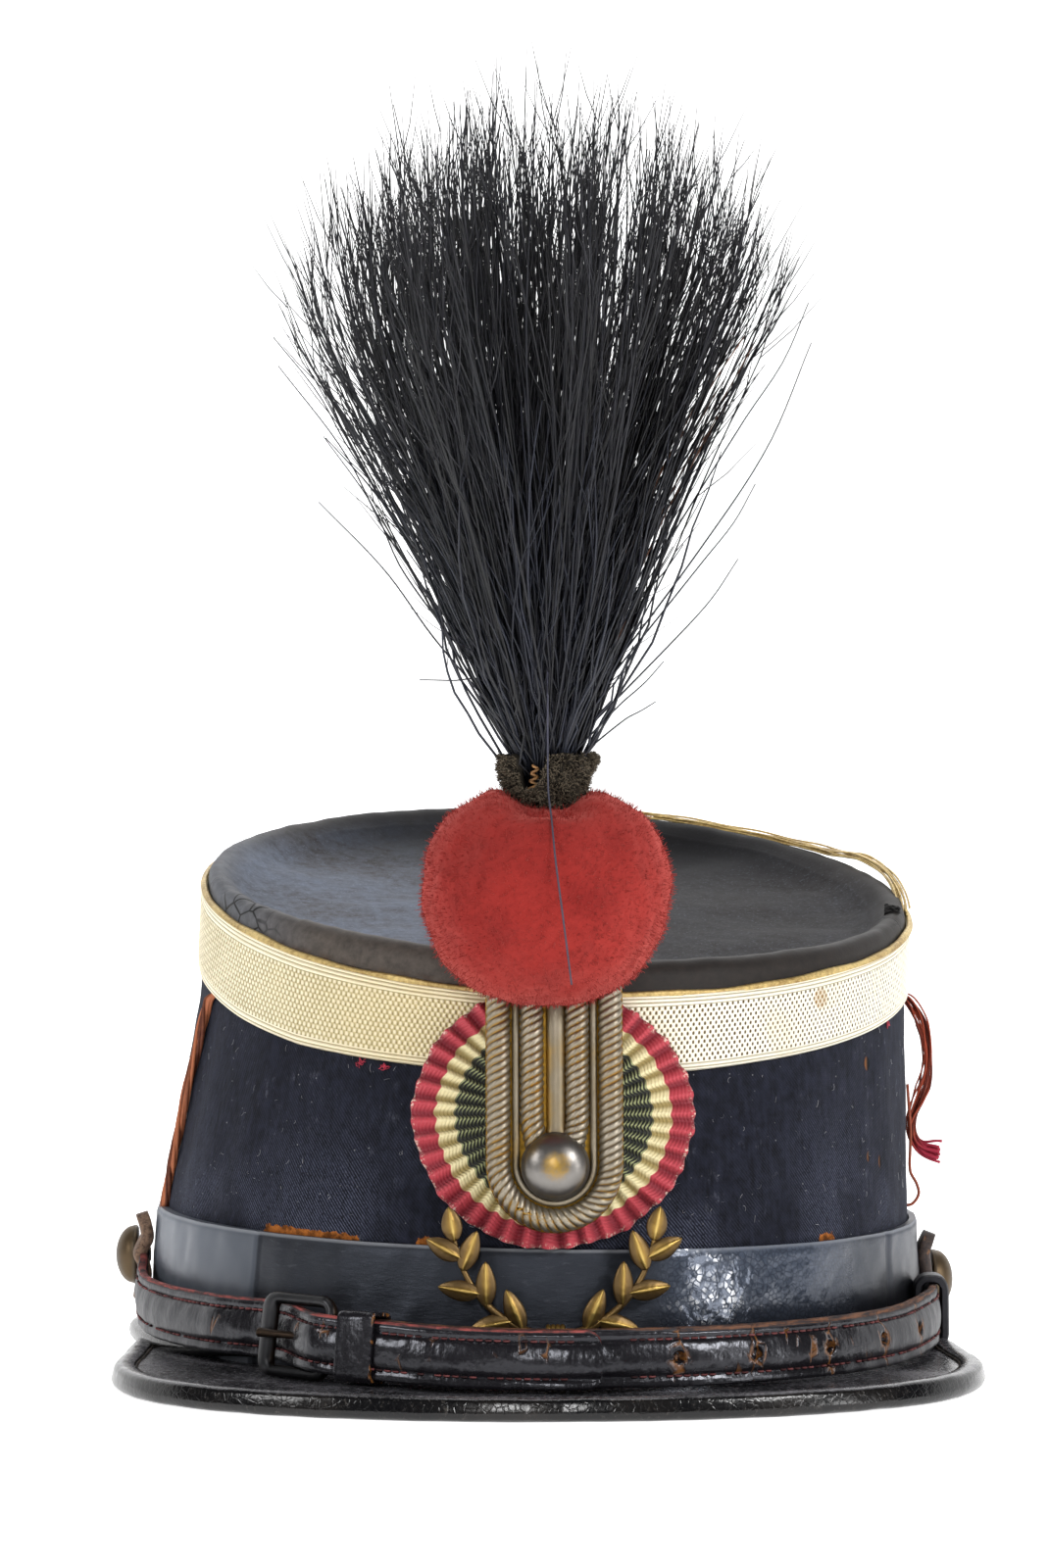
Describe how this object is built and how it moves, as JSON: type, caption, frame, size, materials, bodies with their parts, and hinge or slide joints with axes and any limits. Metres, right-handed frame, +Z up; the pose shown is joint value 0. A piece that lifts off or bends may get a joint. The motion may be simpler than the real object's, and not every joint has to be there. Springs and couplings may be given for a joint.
{
  "type": "kepi",
  "caption": "Stiff kepi with a flat peak, dished leather top, lace band, buckled chin strap, pleated cockade under a loop plate, wool pompom and bristle plume.",
  "frame": {"origin": "middle of the underside of the bounding box, on the surface that the hat stands on, measured without the loose piping", "axes": "+Z up, -Y towards the front of the hat where the peak is, +X towards the wearer's left"},
  "size_m": [0.1842, 0.2414, 0.2621],
  "materials": {
    "wool": "worn wool twill",
    "leather": "dull dusty leather",
    "patent": "glossy crackled patent leather",
    "strap": "worn strap leather",
    "lace": "woven gold lace",
    "ribbon": "pleated ribbon",
    "silvered": "tarnished silvered brass",
    "brass": "tarnished brass",
    "iron": "blackened iron",
    "redwool": "clipped wool",
    "bristle": "stiff black bristle",
    "chenille": "brown chenille",
    "braid": "worn red braid"
  },
  "bodies": {
    "root": {"body_wall": "wool", "crown_top": "leather", "lace_band": "lace", "lower_band": "patent", "peak": "patent", "peak_binding": "patent", "peak_welt": "patent", "strap_left": "strap", "strap_right": "strap", "strap_keeper": "strap", "strap_slide": "strap", "buckle_frame": "iron", "buckle_tongue": "iron", "side_button_left": "brass", "side_button_right": "brass", "cockade": "ribbon", "loop_plate": "silvered", "loop_button": "brass", "laurel_spray": "brass", "plume_stem": "iron", "pompom": "redwool", "plume_socket": "chenille", "plume": "bristle", "piping_left": "braid", "piping_right": "braid"}
  },
  "joints": []
}
